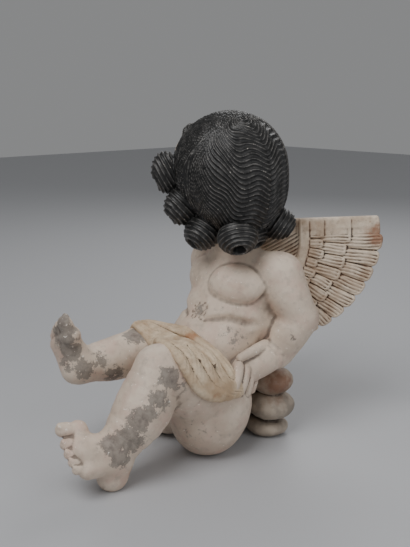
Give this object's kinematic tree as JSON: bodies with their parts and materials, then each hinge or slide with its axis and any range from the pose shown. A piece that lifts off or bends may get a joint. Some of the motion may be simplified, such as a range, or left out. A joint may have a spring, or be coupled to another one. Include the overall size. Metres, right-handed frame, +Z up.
{
  "type": "stone putto statue",
  "caption": "Seated winged putto in cast stone, leaning back on its arms with the head turned away, rolls behind the seat and a loincloth.",
  "frame": {"origin": "middle of the footprint box on the ground, at z = 0", "axes": "+Z up, -Y the way the chest and feet face, +X towards the figure's left"},
  "size_m": [0.2448, 0.4039, 0.3952],
  "materials": {
    "cast_stone": "matte"
  },
  "bodies": {
    "root": {"putto_statue": "cast_stone"}
  },
  "joints": []
}
